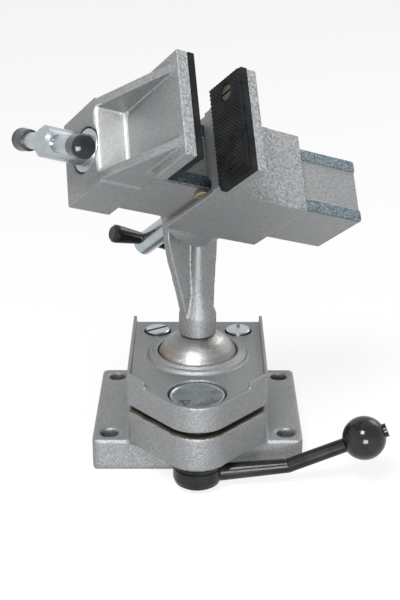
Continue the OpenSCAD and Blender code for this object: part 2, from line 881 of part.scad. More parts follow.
module spindle() {
    color(zinc_colour)
    in_head()
        translate([0, 0, spindle_z])
        difference() {
            rotate([0, 90, 0])
                rotate_extrude()
                polygon([[0, spindle_out], [spindle_head_r - 1.6, spindle_out], [spindle_head_r, spindle_out + 1.6],
                         [spindle_head_r, collar_front], [spindle_collar_r, collar_front],
                         [spindle_collar_r, collar_back], [screw_r, collar_back], [screw_r, screw_end - 1],
                         [screw_r - 1, screw_end], [0, screw_end]]);
            bar_place()
                cylinder(h = 4 * spindle_head_r, r = bar_r + spindle_clear, center = true);
        }
}

// Places the children on the spindle's cross bar, with Z along the bar
module bar_place() {
    translate([bar_x, 0, 0])
        rotate([-bar_turn, 0, 0])
        children();
}

// Clip that holds the spindle behind the front block's inner wall
module spindle_ring() {
    color(zinc_colour)
    in_head()
        translate([wall_back + 0.1, 0, spindle_z])
        rotate([0, 90, 0])
        difference() {
            cylinder(h = 2, r = screw_r + 3);
            translate([0, 0, -1])
                cylinder(h = 4, r = screw_r);
        }
}

module spindle_bar() {
    color(zinc_colour)
    in_head()
        translate([0, 0, spindle_z])
        bar_place()
        cylinder(h = 2 * bar_reach - 4, r = bar_r, center = true);
}

module spindle_grips() {
    for (turn = [0, 180])
        color(black_colour)
        in_head()
        translate([0, 0, spindle_z])
        bar_place()
        rotate([turn, 0, 0])
        translate([0, 0, bar_reach - grip_l])
        difference() {
            rotate_extrude()
                polygon([[0, 0], [grip_r - 0.8, 0], [grip_r - 0.4, 0.5], [grip_r, grip_l - 2.4],
                         [grip_r - 0.6, grip_l - 1], [grip_r - 2, grip_l - 0.2], [0, grip_l]]);
            translate([0, 0, -1])
                cylinder(h = grip_l - 1, r = bar_r);
        }
}

base_casting();
clamp_cap();
cap_screws();
clamp_bolt();
thrust_washer();
clamp_lever();
lever_knob();
joint_ball();
post();
pivot_stud();
pivot_washer();
pivot_nut();
pivot_bar();
pivot_grips();
vise_body();
rear_jaw_plate();
rear_plate_screws();
spindle_nut();
nut_screw();
brass_gib();
moving_jaw();
front_jaw_plate();
front_plate_screws();
spindle();
spindle_ring();
spindle_bar();
spindle_grips();
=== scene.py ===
"""Looks of a rotary bench vise on a clamped ball joint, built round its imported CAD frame.

Every length is in metres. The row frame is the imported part's own: +X to the right, +Y to the back
and +Z up, with its origin under the middle of the base plate. The head has another frame: its x
runs along the slide to the rear, its y across the jaws and its z up out of them.
"""

import json
import logging
import math
from dataclasses import dataclass, field
from enum import Enum
from typing import Callable, Iterable, Optional, Sequence

import bmesh
import bpy
from mathutils import Matrix, Vector


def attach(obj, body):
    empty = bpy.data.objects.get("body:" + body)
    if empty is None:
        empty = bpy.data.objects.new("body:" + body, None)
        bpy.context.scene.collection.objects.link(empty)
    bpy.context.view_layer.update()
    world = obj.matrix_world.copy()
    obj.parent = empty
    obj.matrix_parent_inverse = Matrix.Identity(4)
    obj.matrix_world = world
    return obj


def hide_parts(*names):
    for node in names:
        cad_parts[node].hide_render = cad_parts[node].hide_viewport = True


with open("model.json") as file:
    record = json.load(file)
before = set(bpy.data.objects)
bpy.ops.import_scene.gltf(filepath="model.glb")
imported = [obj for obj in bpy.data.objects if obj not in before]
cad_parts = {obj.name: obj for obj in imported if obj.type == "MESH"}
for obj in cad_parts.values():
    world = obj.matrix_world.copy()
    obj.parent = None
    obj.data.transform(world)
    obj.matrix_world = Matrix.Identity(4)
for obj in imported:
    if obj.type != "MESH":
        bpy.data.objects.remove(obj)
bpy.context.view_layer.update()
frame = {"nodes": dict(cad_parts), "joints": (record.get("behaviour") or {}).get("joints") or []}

LOG = logging.getLogger("rotary_vise")
MM = 0.001
# Depth from the top of the jaws to the spindle's axis
SPINDLE_DEPTH = 55.5 * MM

Point = tuple[float, float, float]
Profile = Sequence[tuple[float, float]]


class Surface(Enum):
    """Finishes that the vise's pieces take, each with the record's material slot that it belongs to."""

    CASTING = ("fine_casting", "painted_casting")
    COARSE = ("coarse_casting", "painted_casting")
    PAINTED_LIT = ("painted_lit_casting", "painted_casting")
    ZINC = ("zinc_plate", "zinc_plate")
    RAIL = ("blue_rail", "zinc_plate")
    GROUND = ("ground_ball", "polished_steel")
    ENAMEL = ("lever_enamel", "black_metal")
    PLASTIC = ("moulded_black", "black_plastic")
    SLEEVE = ("grey_sleeve", "black_plastic")
    OXIDE = ("black_oxide", "black_oxide")
    SCREW = ("oiled_screw", "black_oxide")
    # Painted shade: a dark, slightly brown film in the split under the clamp cap.
    PAINTED_SHADE = ("painted_split_shade", "painted_casting")
    BRASS = ("brass", "brass")

    @property
    def slot(self) -> str:
        """Returns the record's material slot of the finish."""
        return self.value[1]


@dataclass(frozen=True)
class LocalFrame:
    """A right-handed frame fixed in the row frame, with its origin and three unit axes in metres."""

    origin: Vector
    x: Vector
    y: Vector
    z: Vector

    def matrix(self) -> Matrix:
        """Returns the 4 by 4 matrix that takes this frame's points to the row frame."""
        rows = [[self.x[i], self.y[i], self.z[i], self.origin[i]] for i in range(3)]
        return Matrix(rows + [[0.0, 0.0, 0.0, 1.0]])

    def moved(self, x: float = 0.0, y: float = 0.0, z: float = 0.0) -> "LocalFrame":
        """Returns a copy shifted along its own axes.

        Args:
            x: Shift along the frame's x axis.
            y: Shift along the frame's y axis.
            z: Shift along the frame's z axis.

        Returns:
            The shifted frame.
        """
        return LocalFrame(self.origin + x * self.x + y * self.y + z * self.z, self.x, self.y, self.z)

    def facing(self, direction: Vector) -> "LocalFrame":
        """Returns a frame at the same origin whose z axis points along a direction.

        Args:
            direction: The new z axis, in the row frame.

        Returns:
            The turned frame.
        """
        z = direction.normalized()
        helper = Vector((0.0, 0.0, 1.0)) if abs(z.z) < 0.9 else Vector((1.0, 0.0, 0.0))
        x = helper.cross(z).normalized()
        return LocalFrame(self.origin, x, z.cross(x), z)


def head_frame() -> LocalFrame:
    """Works out the head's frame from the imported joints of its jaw, its pivot and its spindle.

    Returns:
        The frame, with its origin at the middle of the top edge of the fixed jaw plate's face.
    """
    joints = {joint["name"]: joint for joint in frame["joints"]}
    up = Vector(joints["head_turn"]["axis"])
    back = -1.0 * Vector(joints["jaw_slide"]["axis"])
    origin = Vector(joints["spindle_turn"]["pos_m"]) + SPINDLE_DEPTH * up
    return LocalFrame(origin, back, up.cross(back), up)


ROW = LocalFrame(Vector((0, 0, 0)), Vector((1, 0, 0)), Vector((0, 1, 0)), Vector((0, 0, 1)))
HEAD = head_frame()


class NodeGraph:
    """Small wrapper round a material's node tree."""

    def __init__(self, name: str) -> None:
        """Starts an empty surface material.

        Args:
            name: Name of the material.
        """
        self.material = bpy.data.materials.new(name)
        self.material.use_nodes = True
        self.tree = self.material.node_tree
        self.tree.nodes.clear()
        self.output = self.add("ShaderNodeOutputMaterial")
        self.shader = self.add("ShaderNodeBsdfPrincipled")
        self.link(self.shader, "BSDF", self.output, "Surface")
        self.coords = self.add("ShaderNodeTexCoord")

    def add(self, kind: str, **values: object) -> bpy.types.Node:
        """Adds a node.

        Args:
            kind: Blender's node type name.
            **values: Attributes to set on the node.

        Returns:
            The new node.
        """
        node = self.tree.nodes.new(kind)
        for key, value in values.items():
            setattr(node, key, value)
        return node

    def link(self, source: bpy.types.Node, out: str, target: bpy.types.Node, into: str) -> None:
        """Links two sockets by name."""
        self.tree.links.new(source.outputs[out], target.inputs[into])

    def stretched(self, scale: Point) -> bpy.types.Node:
        """Adds a mapping that scales object coordinates differently along each axis.

        Args:
            scale: The three factors.

        Returns:
            The mapping node.
        """
        mapping = self.add("ShaderNodeMapping")
        mapping.inputs["Scale"].default_value = scale
        self.link(self.coords, "Object", mapping, "Vector")
        return mapping

    def noise(self, scale: float, detail: float = 4.0, rough: float = 0.55,
              source: Optional[bpy.types.Node] = None) -> bpy.types.Node:
        """Adds a noise texture in object space.

        Args:
            scale: Features per metre.
            detail: Octaves of finer noise.
            rough: Strength of each finer octave.
            source: A mapping node to read in place of the plain coordinates.

        Returns:
            The noise node.
        """
        node = self.add("ShaderNodeTexNoise")
        node.inputs["Scale"].default_value = scale
        node.inputs["Detail"].default_value = detail
        node.inputs["Roughness"].default_value = rough
        if source is None:
            self.link(self.coords, "Object", node, "Vector")
        else:
            self.link(source, "Vector", node, "Vector")
        return node

    def ramp(self, source: bpy.types.Node, out: str,
             stops: Sequence[tuple[float, Point]]) -> bpy.types.Node:
        """Adds a colour ramp behind a value.

        Args:
            source: Node whose output drives the ramp.
            out: Name of that output.
            stops: Positions and linear colours.

        Returns:
            The ramp node.
        """
        node = self.add("ShaderNodeValToRGB")
        while len(node.color_ramp.elements) > 1:
            node.color_ramp.elements.remove(node.color_ramp.elements[-1])
        for i, (place, colour) in enumerate(stops):
            stop = node.color_ramp.elements[0] if i == 0 else node.color_ramp.elements.new(place)
            stop.position = place
            stop.color = (*colour, 1.0)
        self.link(source, out, node, "Fac")
        return node

    def spread(self, source: bpy.types.Node, out: str, low: float, high: float,
               from_low: float = 0.0, from_high: float = 1.0) -> bpy.types.Node:
        """Maps a value from one range to another, clamped.

        Args:
            source: Node that gives the value.
            out: Name of its output.
            low: Result at the start of the first range.
            high: Result at its end.
            from_low: Start of the first range.
            from_high: End of the first range.

        Returns:
            The map node, whose output is called Result.
        """
        node = self.add("ShaderNodeMapRange")
        node.inputs["From Min"].default_value = from_low
        node.inputs["From Max"].default_value = from_high
        node.inputs["To Min"].default_value = low
        node.inputs["To Max"].default_value = high
        self.link(source, out, node, "Value")
        return node

    def mix(self, factor: bpy.types.Node, out: str, first: bpy.types.Node, second: Point) -> bpy.types.Node:
        """Mixes a colour into another by a factor.

        Args:
            factor: Node that gives the factor.
            out: Its output's name.
            first: Node that gives the first colour.
            second: The second colour.

        Returns:
            The mix node, whose colour output is called Color.
        """
        node = self.add("ShaderNodeMixRGB")
        self.link(factor, out, node, "Fac")
        self.link(first, "Color", node, "Color1")
        node.inputs["Color2"].default_value = (*second, 1.0)
        return node

    def bump(self, height: bpy.types.Node, out: str, depth: float, strength: float = 1.0,
             below: Optional[bpy.types.Node] = None) -> bpy.types.Node:
        """Adds a bump of a real depth in metres and wires it to the shader's normal.

        Args:
            height: Node whose output is the height.
            out: Name of that output.
            depth: Depth in metres for a height of one.
            strength: Share of the bump that is used.
            below: Another bump that this one lies on.

        Returns:
            The bump node.
        """
        node = self.add("ShaderNodeBump")
        node.inputs["Strength"].default_value = strength
        node.inputs["Distance"].default_value = depth
        self.link(height, out, node, "Height")
        if below is not None:
            self.link(below, "Normal", node, "Normal")
        self.link(node, "Normal", self.shader, "Normal")
        return node

    def set(self, **values: object) -> None:
        """Sets plain values on the shader's own sockets, with underscores for blanks."""
        for key, value in values.items():
            self.shader.inputs[key.replace("_", " ")].default_value = value


def scaled(colour: Point, factor: float, lift: float = 0.0) -> Point:
    """Makes a colour darker or lighter.

    Args:
        colour: Linear red, green and blue.
        factor: What each is multiplied by.
        lift: What is then added to each.

    Returns:
        The new colour.
    """
    return tuple(c * factor + lift for c in colour)


@dataclass(frozen=True)
class CastPaint:
    """Silver-grey metallic paint over a sand casting, from fine sand grain to a coarse leathery skin, with
    the grain's light and shade painted into its colour.
    """

    name: str = "painted_casting"
    base: Point = (0.212, 0.219, 0.223)
    grain: float = 1150.0
    depth: float = 0.00030
    lumps: float = 150.0
    lump_depth: float = 0.00014
    contrast: float = 0.34
    pooled: float = 0.86
    fleck: Point = (0.66, 0.67, 0.68)

    def build(self) -> bpy.types.Material:
        """Makes the material: cast grain under paint, its pits darkened and its bumps lightened as painted
        shade and light, darker in its pools, with fine metal flecks.

        Returns:
            The material.
        """
        g = NodeGraph(self.name)
        g.set(Metallic=0.6, Specular_IOR_Level=0.5)
        grain = g.noise(self.grain, 4.0, 0.6)
        cloud = g.noise(38.0, 3.0, 0.5)
        low, high = scaled(self.base, 1.0 - self.contrast), scaled(self.base, 1.0 + self.contrast)
        # Painted shade and light: the grain's tone follows its bump height, darker in the pits and lighter on
        # the bumps.
        grain_shade = g.ramp(grain, "Fac", [(0.32, low), (0.52, self.base), (0.72, high)])
        worn = g.spread(cloud, "Fac", 0.0, 0.5, 0.42, 0.7)
        colour = g.mix(worn, "Result", grain_shade, scaled(self.base, self.pooled))
        fleck = g.noise(2400.0, 2.0, 0.5)
        flecks = g.spread(fleck, "Fac", 0.0, 0.5, 0.64, 0.76)
        colour = g.mix(flecks, "Result", colour, self.fleck)
        g.link(colour, "Color", g.shader, "Base Color")
        rough = g.spread(grain, "Fac", 0.34, 0.48, 0.3, 0.7)
        g.link(rough, "Result", g.shader, "Roughness")
        lumps = g.noise(self.lumps, 3.0, 0.5)
        under = g.bump(lumps, "Fac", self.lump_depth, 0.7)
        g.bump(grain, "Fac", self.depth, 0.9, under)
        return g.material


@dataclass(frozen=True)
class ZincPlate:
    """Bright zinc plate with a cool tint, from smooth turned heads to clouded milled rails."""

    name: str = "zinc_plate"
    base: Point = (0.42, 0.46, 0.48)
    cloud: float = 110.0
    pits: float = 0.00006
    rough: tuple[float, float] = (0.22, 0.38)
    contrast: float = 0.14

    def build(self) -> bpy.types.Material:
        """Makes the material: plated steel, clouded where the plating is thin, with fine pits.

        Returns:
            The material.
        """
        g = NodeGraph(self.name)
        g.set(Metallic=1.0)
        cloud = g.noise(self.cloud, 4.0, 0.65)
        low, high = scaled(self.base, 1.0 - self.contrast), scaled(self.base, 1.0 + self.contrast)
        colour = g.ramp(cloud, "Fac", [(0.32, low), (0.52, self.base), (0.72, high)])
        g.link(colour, "Color", g.shader, "Base Color")
        fine = g.noise(1400.0, 3.0, 0.6)
        rough = g.spread(cloud, "Fac", self.rough[0], self.rough[1], 0.35, 0.7)
        g.link(rough, "Result", g.shader, "Roughness")
        under = g.bump(cloud, "Fac", self.pits * 2.0, 0.6)
        g.bump(fine, "Fac", self.pits, 0.6, under)
        return g.material


@dataclass(frozen=True)
class GroundSteel:
    """Bright ground ball with rub marks, and a brown stain low on one side."""

    name: str = "polished_steel"
    base: Point = (0.27, 0.272, 0.262)
    rubbed: Point = (0.84, 0.83, 0.82)
    stain: Point = (0.20, 0.115, 0.05)
    stain_at: Point = (-0.0178, -0.0205, 0.0526)
    stain_r: tuple[float, float] = (0.002, 0.009)

    def build(self) -> bpy.types.Material:
        """Makes the material: ground steel with streaks and an old oil stain.

        Returns:
            The material.
        """
        g = NodeGraph(self.name)
        g.set(Metallic=1.0)
        streak = g.noise(1.0, 4.0, 0.6, g.stretched((60.0, 60.0, 420.0)))
        patch = g.noise(70.0, 3.0, 0.6)
        tones = [(0.3, scaled(self.base, 0.72)), (0.6, self.base), (0.85, self.rubbed)]
        colour = g.ramp(streak, "Fac", tones)
        where = g.add("ShaderNodeVectorMath", operation="DISTANCE")
        g.link(g.coords, "Object", where, 0)
        where.inputs[1].default_value = self.stain_at
        near = g.spread(where, "Value", 0.9, 0.0, *self.stain_r)
        blot = g.add("ShaderNodeMath", operation="MULTIPLY")
        g.link(near, "Result", blot, 0)
        patchy = g.spread(patch, "Fac", 0.35, 1.0, 0.38, 0.6)
        g.link(patchy, "Result", blot, 1)
        colour = g.mix(blot, "Value", colour, self.stain)
        g.link(colour, "Color", g.shader, "Base Color")
        rough = g.spread(patch, "Fac", 0.32, 0.48, 0.35, 0.7)
        g.link(rough, "Result", g.shader, "Roughness")
        speck = g.noise(1100.0, 3.0, 0.6)
        under = g.bump(streak, "Fac", 0.00008, 0.6)
        g.bump(speck, "Fac", 0.00022, 0.8, under)
        return g.material


@dataclass(frozen=True)
class DarkFinish:
    """Black enamel, moulded plastic or blackened steel, told apart by its numbers."""

    name: str
    base: Point
    rough: tuple[float, float]
    metallic: float
    gloss: float
    grain: float
    depth: float

    def build(self) -> bpy.types.Material:
        """Makes the material: a near-black skin with worn, slightly lighter patches.

        Returns:
            The material.
        """
        g = NodeGraph(self.name)
        g.set(Metallic=self.metallic, Specular_IOR_Level=self.gloss)
        wear = g.noise(90.0, 4.0, 0.6)
        colour = g.ramp(wear, "Fac", [(0.4, self.base), (0.62, scaled(self.base, 1.7, 0.004))])
        g.link(colour, "Color", g.shader, "Base Color")
        grain = g.noise(self.grain, 3.0, 0.6)
        rough = g.spread(wear, "Fac", self.rough[0], self.rough[1], 0.35, 0.7)
        g.link(rough, "Result", g.shader, "Roughness")
        g.bump(grain, "Fac", self.depth, 0.7)
        return g.material


@dataclass(frozen=True)
class Brass:
    """Plain machined brass."""

    name: str = "brass"
    base: Point = (0.42, 0.37, 0.24)

    def build(self) -> bpy.types.Material:
        """Makes the material: brass gone slightly dull, with milling streaks.

        Returns:
            The material.
        """
        g = NodeGraph(self.name)
        g.set(Metallic=1.0)
        streak = g.noise(1.0, 3.0, 0.5, g.stretched((900.0, 120.0, 900.0)))
        colour = g.ramp(streak, "Fac", [(0.3, scaled(self.base, 0.7)), (0.7, self.base)])
        g.link(colour, "Color", g.shader, "Base Color")
        rough = g.spread(streak, "Fac", 0.24, 0.4)
        g.link(rough, "Result", g.shader, "Roughness")
        g.bump(streak, "Fac", 0.00005, 0.5)
        return g.material


class Palette:
    """Builds each finish once and hands it out by surface."""

    def __init__(self) -> None:
        """Makes all the materials."""
        finishes = {
            Surface.CASTING: CastPaint(),
            # The coarse skin's strong grain contrast is painted shade and light of its relief.
            Surface.COARSE: CastPaint("coarse_casting", base=(0.245, 0.253, 0.259), grain=900.0,
                                      depth=0.00075, lumps=330.0, lump_depth=0.0010, contrast=0.62),
            # Painted light: a lighter copy of the casting finish for the lit floor between the jaw's ribs.
            Surface.PAINTED_LIT: CastPaint("painted_lit_casting", base=(0.47, 0.48, 0.475), grain=760.0,
                                      depth=0.00028, lumps=150.0, lump_depth=0.0003, contrast=0.16),
            Surface.ZINC: ZincPlate(),
            Surface.RAIL: ZincPlate("blue_rail", base=(0.145, 0.188, 0.205), cloud=900.0, pits=0.00030,
                                    rough=(0.30, 0.46), contrast=0.75),
            Surface.GROUND: GroundSteel(),
            Surface.ENAMEL: DarkFinish("lever_enamel", base=(0.007, 0.0075, 0.008), rough=(0.16, 0.28),
                                       metallic=0.0, gloss=0.22, grain=260.0, depth=0.00008),
            Surface.PLASTIC: DarkFinish("moulded_black", base=(0.006, 0.006, 0.007), rough=(0.10, 0.18),
                                        metallic=0.0, gloss=0.30, grain=900.0, depth=0.00002),
            Surface.SLEEVE: DarkFinish("grey_sleeve", base=(0.030, 0.034, 0.034), rough=(0.22, 0.34),
                                       metallic=0.25, gloss=0.4, grain=700.0, depth=0.00004),
            Surface.OXIDE: DarkFinish("black_oxide", base=(0.006, 0.0065, 0.007), rough=(0.36, 0.52),
                                      metallic=0.0, gloss=0.06, grain=1500.0, depth=0.00005),
            Surface.SCREW: DarkFinish("oiled_screw", base=(0.05, 0.045, 0.035), rough=(0.24, 0.40),
                                      metallic=0.8, gloss=0.5, grain=1200.0, depth=0.00004),
            # Painted shade: a dark, slightly brown film laid in the split under the clamp cap.
            Surface.PAINTED_SHADE: DarkFinish("painted_split_shade", base=(0.040, 0.036, 0.028), rough=(0.30, 0.50),
                                      metallic=0.2, gloss=0.4, grain=700.0, depth=0.0001),
            Surface.BRASS: Brass(),
        }
        self.made: dict[Surface, bpy.types.Material] = {}
        for surface, finish in finishes.items():
            self.made[surface] = finish.build()

    def dress(self, obj: bpy.types.Object, surface: Surface) -> bpy.types.Object:
        """Gives an object one finish on all its faces.

        Args:
            obj: The mesh object.
            surface: Its finish.

        Returns:
            The same object.
        """
        obj.data.materials.clear()
        obj.data.materials.append(self.made[surface])
        return obj

    def node(self, name: str, surface: Surface, bevel: float = 0.0) -> None:
        """Gives a CAD node its finish and, where asked, softly rounded edges.

        Args:
            name: The node's name.
            surface: Its finish.
            bevel: Width of the rounding, or 0 for none.
        """
        obj = frame["nodes"][name]
        self.dress(obj, surface)
        if bevel > 0.0:
            round_edges(obj, bevel)
        LOG.info("node %s keeps its solid, finish %s", name, surface.value[0])


def dress_faces(obj: bpy.types.Object, material: bpy.types.Material, place: LocalFrame,
                wanted: Callable[[Vector, Vector], bool]) -> None:
    """Gives some faces of a piece a second finish.

    Args:
        obj: The mesh object, already dressed with its main finish.
        material: The second finish.
        place: Frame in which the faces are judged.
        wanted: Says from a face's centre and normal in that frame whether it takes the second finish.
    """
    obj.data.materials.append(material)
    slot = len(obj.data.materials) - 1
    turn = place.matrix().inverted()
    spin = turn.to_3x3()
    for face in obj.data.polygons:
        if wanted(turn @ face.center, spin @ face.normal):
            face.material_index = slot


def shade_by_angle(obj: bpy.types.Object, angle: float = 32.0) -> None:
    """Smooths shading except across edges sharper than an angle in degrees.

    Args:
        obj: The mesh object.
        angle: The largest angle that is shaded smooth.
    """
    mesh = obj.data
    mesh.polygons.foreach_set("use_smooth", [True] * len(mesh.polygons))
    work = bmesh.new()
    work.from_mesh(mesh)
    limit = math.radians(angle)
    for edge in work.edges:
        edge.smooth = len(edge.link_faces) == 2 and edge.calc_face_angle(0.0) < limit
    work.to_mesh(mesh)
    work.free()


def round_edges(obj: bpy.types.Object, width: float, segments: int = 2, angle: float = 40.0) -> None:
    """Adds a bevel modifier for edges sharper than an angle.

    Args:
        obj: The mesh object.
        width: Width of the bevel in metres.
        segments: Steps in the rounding.
        angle: Smallest edge angle that is rounded, in degrees.
    """
    bevel = obj.modifiers.new("rounded edges", "BEVEL")
    bevel.width = width
    bevel.segments = segments
    bevel.limit_method = "ANGLE"
    bevel.angle_limit = math.radians(angle)
    bevel.harden_normals = False
    bevel.use_clamp_overlap = True
    normals = obj.modifiers.new("even shading", "WEIGHTED_NORMAL")
    normals.keep_sharp = True


def make_object(name: str, mesh: bpy.types.Mesh) -> bpy.types.Object:
    """Puts a mesh into the scene.

    Args:
        name: Name of the new object.
        mesh: Its mesh, in the row frame.

    Returns:
        The new object.
    """
    obj = bpy.data.objects.new(name, mesh)
    bpy.context.scene.collection.objects.link(obj)
    return obj


def mesh_from(name: str, points: Iterable[Point], faces: Iterable[Sequence[int]],
              place: LocalFrame) -> bpy.types.Object:
    """Makes an object from points in a local frame.

    Args:
        name: Name of the new object.
        points: Vertices in the local frame, in metres.
        faces: Vertex indices of each face.
        place: The local frame.

    Returns:
        The new object, with its vertices in the row frame.
    """
    mesh = bpy.data.meshes.new(name)
    mesh.from_pydata([tuple(p) for p in points], [], [tuple(f) for f in faces])
    mesh.transform(place.matrix())
    work = bmesh.new()
    work.from_mesh(mesh)
    bmesh.ops.recalc_face_normals(work, faces=work.faces)
    work.to_mesh(mesh)
    work.free()
    return make_object(name, mesh)


def revolve(name: str, profile: Profile, place: LocalFrame, steps: int = 64) -> bpy.types.Object:
    """Turns a profile about the local z axis.

    Args:
        name: Name of the new object.
        profile: Radius and height pairs from one end of the axis to the other, or a closed loop off the axis.
        place: Frame whose z axis is the axis.
        steps: Number of steps round.

    Returns:
        The new object.
    """
    points: list[Point] = []
    rings: list[list[int]] = []
    for radius, height in profile:
        if radius < 1e-7:
            rings.append([len(points)] * steps)
            points.append((0.0, 0.0, height))
            continue
        start = len(points)
        for i in range(steps):
            turn = 2.0 * math.pi * i / steps
            points.append((radius * math.cos(turn), radius * math.sin(turn), height))
        rings.append(list(range(start, start + steps)))
    closed = profile[0][0] > 1e-7 and profile[-1][0] > 1e-7
    pairs = list(zip(rings, rings[1:])) + ([(rings[-1], rings[0])] if closed else [])
    faces: list[list[int]] = []
    for low, high in pairs:
        for i in range(steps):
            j = (i + 1) % steps
            corner = [low[i], low[j], high[j], high[i]]
            faces.append([v for k, v in enumerate(corner) if v != corner[k - 1]])
    obj = mesh_from(name, points, faces, place)
    shade_by_angle(obj)
    return obj


def tube(name: str, path: Sequence[Vector], radius: float, place: LocalFrame,
         steps: int = 32) -> bpy.types.Object:
    """Sweeps a round section along a path, with closed ends.

    Args:
        name: Name of the new object.
        path: Points along the middle, in the local frame.
        radius: Radius of the section.
        place: The local frame.
        steps: Number of steps round.

    Returns:
        The new object.
    """
    points: list[Vector] = []
    faces: list[list[int]] = []
    side = Vector((0.0, 1.0, 0.0))
    for i, middle in enumerate(path):
        ahead = (path[min(i + 1, len(path) - 1)] - path[max(i - 1, 0)]).normalized()
        side = (side - side.dot(ahead) * ahead).normalized()
        other = ahead.cross(side)
        for k in range(steps):
            turn = 2.0 * math.pi * k / steps
            points.append(middle + radius * (math.cos(turn) * side + math.sin(turn) * other))
    for i in range(len(path) - 1):
        for k in range(steps):
            j = (k + 1) % steps
            faces.append([i * steps + k, i * steps + j, (i + 1) * steps + j, (i + 1) * steps + k])
    faces.append(list(range(steps)))
    faces.append(list(range((len(path) - 1) * steps, len(path) * steps)))
    obj = mesh_from(name, [tuple(p) for p in points], faces, place)
    shade_by_angle(obj, 50.0)
    return obj


def prism(name: str, outline: Profile, low: float, high: float, place: LocalFrame) -> bpy.types.Object:
    """Extrudes a flat outline along the local z axis.

    Args:
        name: Name of the new object.
        outline: Corners in the local x and y, in order.
        low: Height of one end.
        high: Height of the other end.
        place: The local frame.

    Returns:
        The new object.
    """
    count = len(outline)
    points = [(x, y, low) for x, y in outline] + [(x, y, high) for x, y in outline]
    faces: list[list[int]] = [list(range(count)), list(range(count, 2 * count))]
    for i in range(count):
        j = (i + 1) % count
        faces.append([i, j, count + j, count + i])
    return mesh_from(name, points, faces, place)


def soften(mesh: bpy.types.Mesh, soft: Callable[[Vector], bool], passes: int) -> None:
    """Widens the radius of some edges by smoothing the vertices near them again and again.

    Args:
        mesh: The mesh, in the frame that the test uses.
        soft: Says from a vertex's place whether it is smoothed.
        passes: Number of smoothing passes.
    """
    work = bmesh.new()
    work.from_mesh(mesh)
    chosen = [v for v in work.verts if soft(v.co)]
    for _ in range(passes):
        bmesh.ops.smooth_vert(work, verts=chosen, factor=0.5,
                              use_axis_x=True, use_axis_y=True, use_axis_z=True)
    work.to_mesh(mesh)
    work.free()


def cast(name: str, parts: Sequence[bpy.types.Object], place: LocalFrame, voxel: float, passes: int,
         soft: Optional[Callable[[Vector], bool]] = None, soft_passes: int = 30) -> bpy.types.Object:
    """Melts overlapping closed solids into one casting with small fillets at every edge.

    Args:
        name: Name of the casting.
        parts: Solids in the row frame. Those made for the purpose are removed afterwards; CAD nodes are left.
        place: Frame whose axes the casting's flat faces follow.
        voxel: Size of the grid, in metres.
        passes: Smoothing passes, each of which widens the fillets.
        soft: Says from a point in the frame whether the edge there has a wide radius.
        soft_passes: Extra smoothing passes for such edges.

    Returns:
        The casting, with its vertices in the row frame.
    """
    merged = bmesh.new()
    for part in parts:
        copy = part.data.copy()
        copy.transform(part.matrix_world)
        merged.from_mesh(copy)
        bpy.data.meshes.remove(copy)
    bmesh.ops.triangulate(merged, faces=merged.faces)
    mesh = bpy.data.meshes.new(name)
    merged.to_mesh(mesh)
    merged.free()
    mesh.transform(place.matrix().inverted())
    rough = make_object(name + "_rough", mesh)
    remesh = rough.modifiers.new("grid", "REMESH")
    remesh.mode = "VOXEL"
    remesh.voxel_size = voxel
    smooth = rough.modifiers.new("fillets", "SMOOTH")
    smooth.factor = 0.5
    smooth.iterations = passes
    bpy.context.view_layer.update()
    graph = bpy.context.evaluated_depsgraph_get()
    done = bpy.data.meshes.new_from_object(rough.evaluated_get(graph))
    if soft is not None:
        soften(done, soft, soft_passes)
    done.transform(place.matrix())
    bpy.data.objects.remove(rough)
    for part in parts:
        if part.name not in frame["nodes"]:
            bpy.data.objects.remove(part)
    done.name = name
    done.materials.clear()
    done.polygons.foreach_set("use_smooth", [True] * len(done.polygons))
    obj = make_object(name, done)
    LOG.info("casting %s has %d faces", name, len(done.polygons))
    return obj


@dataclass
class Piece:
    """Base of the sub-assemblies: it hangs each new piece on its body with its finish."""

    palette: Palette

    def finish(self, obj: bpy.types.Object, body: str, surface: Surface, *nodes: str) -> bpy.types.Object:
        """Dresses a new piece, hangs it on its body and hides the nodes it stands for.

        Args:
            obj: The new piece.
            body: The CAD body it rides on.
            surface: Its finish.
            *nodes: CAD nodes that it replaces.

        Returns:
            The piece.
        """
        self.palette.dress(obj, surface)
        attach(obj, body)
        if nodes:
            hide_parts(*nodes)
        LOG.info("piece %s rides on %s", obj.name, body)
        return obj


